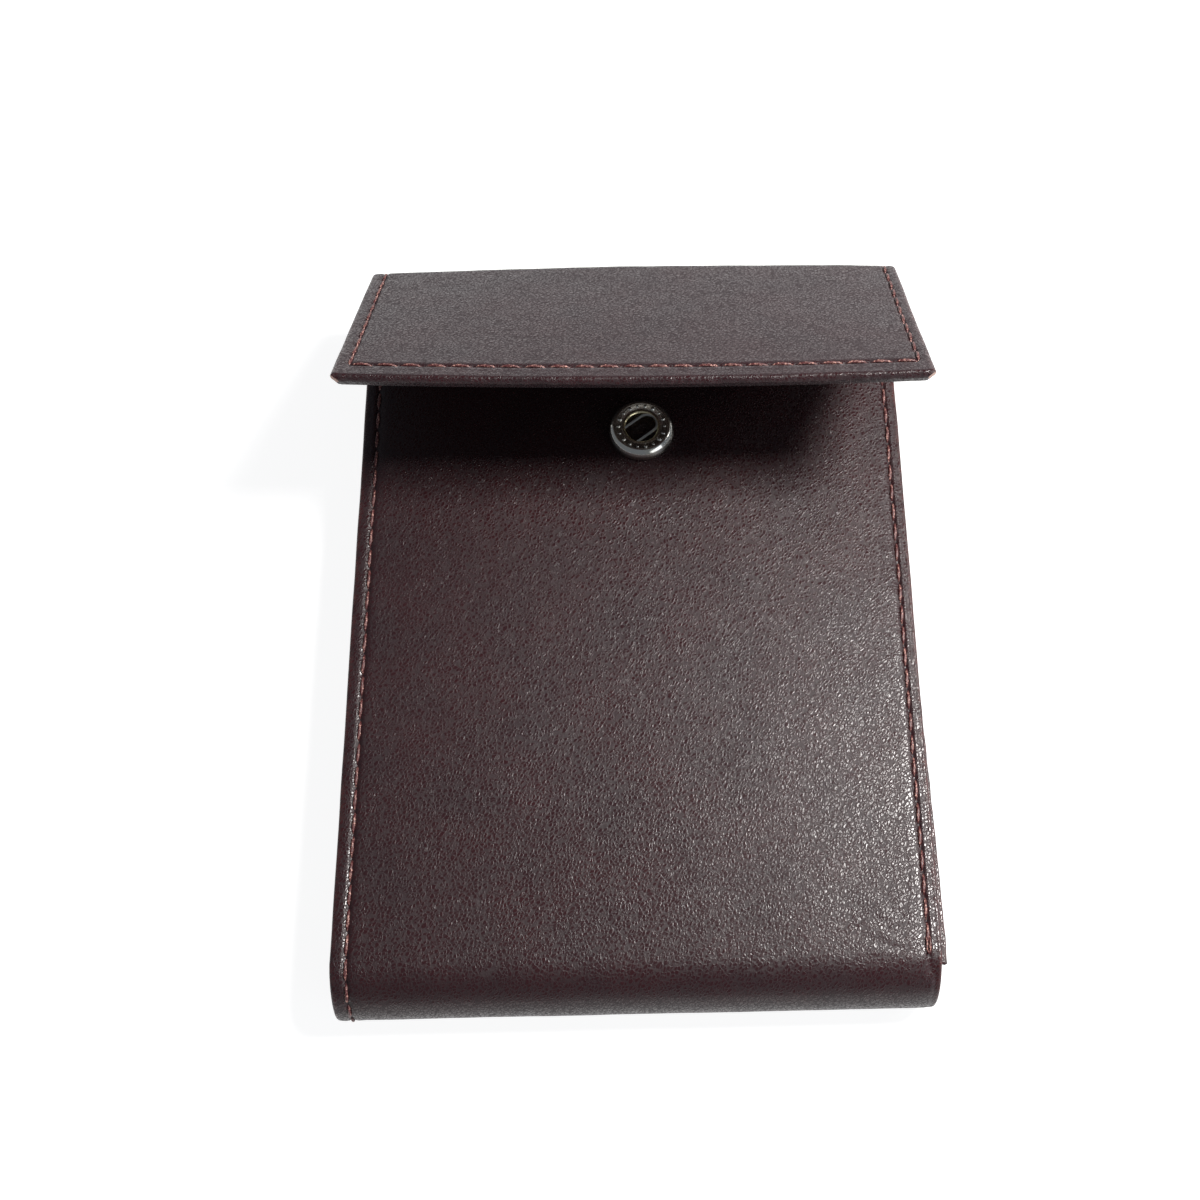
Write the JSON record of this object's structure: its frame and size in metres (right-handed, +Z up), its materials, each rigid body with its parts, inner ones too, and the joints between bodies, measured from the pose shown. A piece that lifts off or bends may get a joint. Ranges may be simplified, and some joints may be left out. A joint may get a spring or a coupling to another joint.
{
  "type": "business card case",
  "caption": "Upright leather business card case with side gussets and a snap flap that folds over the front.",
  "frame": {"origin": "on the table under the middle of the case, which lies on its back", "axes": "+X across the case to the right of the front, +Y from the bottom fold to the flap fold, +Z up out of the front"},
  "size_m": [0.075, 0.103, 0.0378],
  "materials": {
    "leather": "smooth fine-grain, satin, dark wine brown",
    "lining": "matt dark brown cloth",
    "board": "matt pressed board",
    "thread": "twisted thread with a slight sheen",
    "nickel": "polished nickel plate",
    "brass": "dull plated brass",
    "spring_steel": "bright wire"
  },
  "bodies": {
    "case": {"outer_wrap": "leather", "wrap_lining": "lining", "front_board": "board", "back_board": "board", "left_gusset": "leather", "right_gusset": "leather", "left_body_thread": "thread", "right_front_thread": "thread", "right_back_thread": "thread", "snap_socket": "nickel", "snap_spring": "spring_steel", "socket_post": "brass"},
    "spine": {"spine_leather": "leather", "spine_lining": "lining", "spine_left_thread": "thread", "spine_right_thread": "thread"},
    "flap": {"flap_leather": "leather", "flap_board": "board", "flap_lining": "lining", "flap_thread": "thread", "snap_stud": "nickel", "stud_rivet": "brass"}
  },
  "joints": [
    {"name": "spine_fold", "type": "hinge", "parent": "case", "child": "spine", "pos_m": [0, 0.0495, 0.002], "axis": [-1, 0, 0], "range_deg": [0, 90]},
    {"name": "flap_fold", "type": "hinge", "parent": "spine", "child": "flap", "pos_m": [0, 0.0495, 0.0145], "axis": [-1, 0, 0], "range_deg": [-36, 54]}
  ]
}
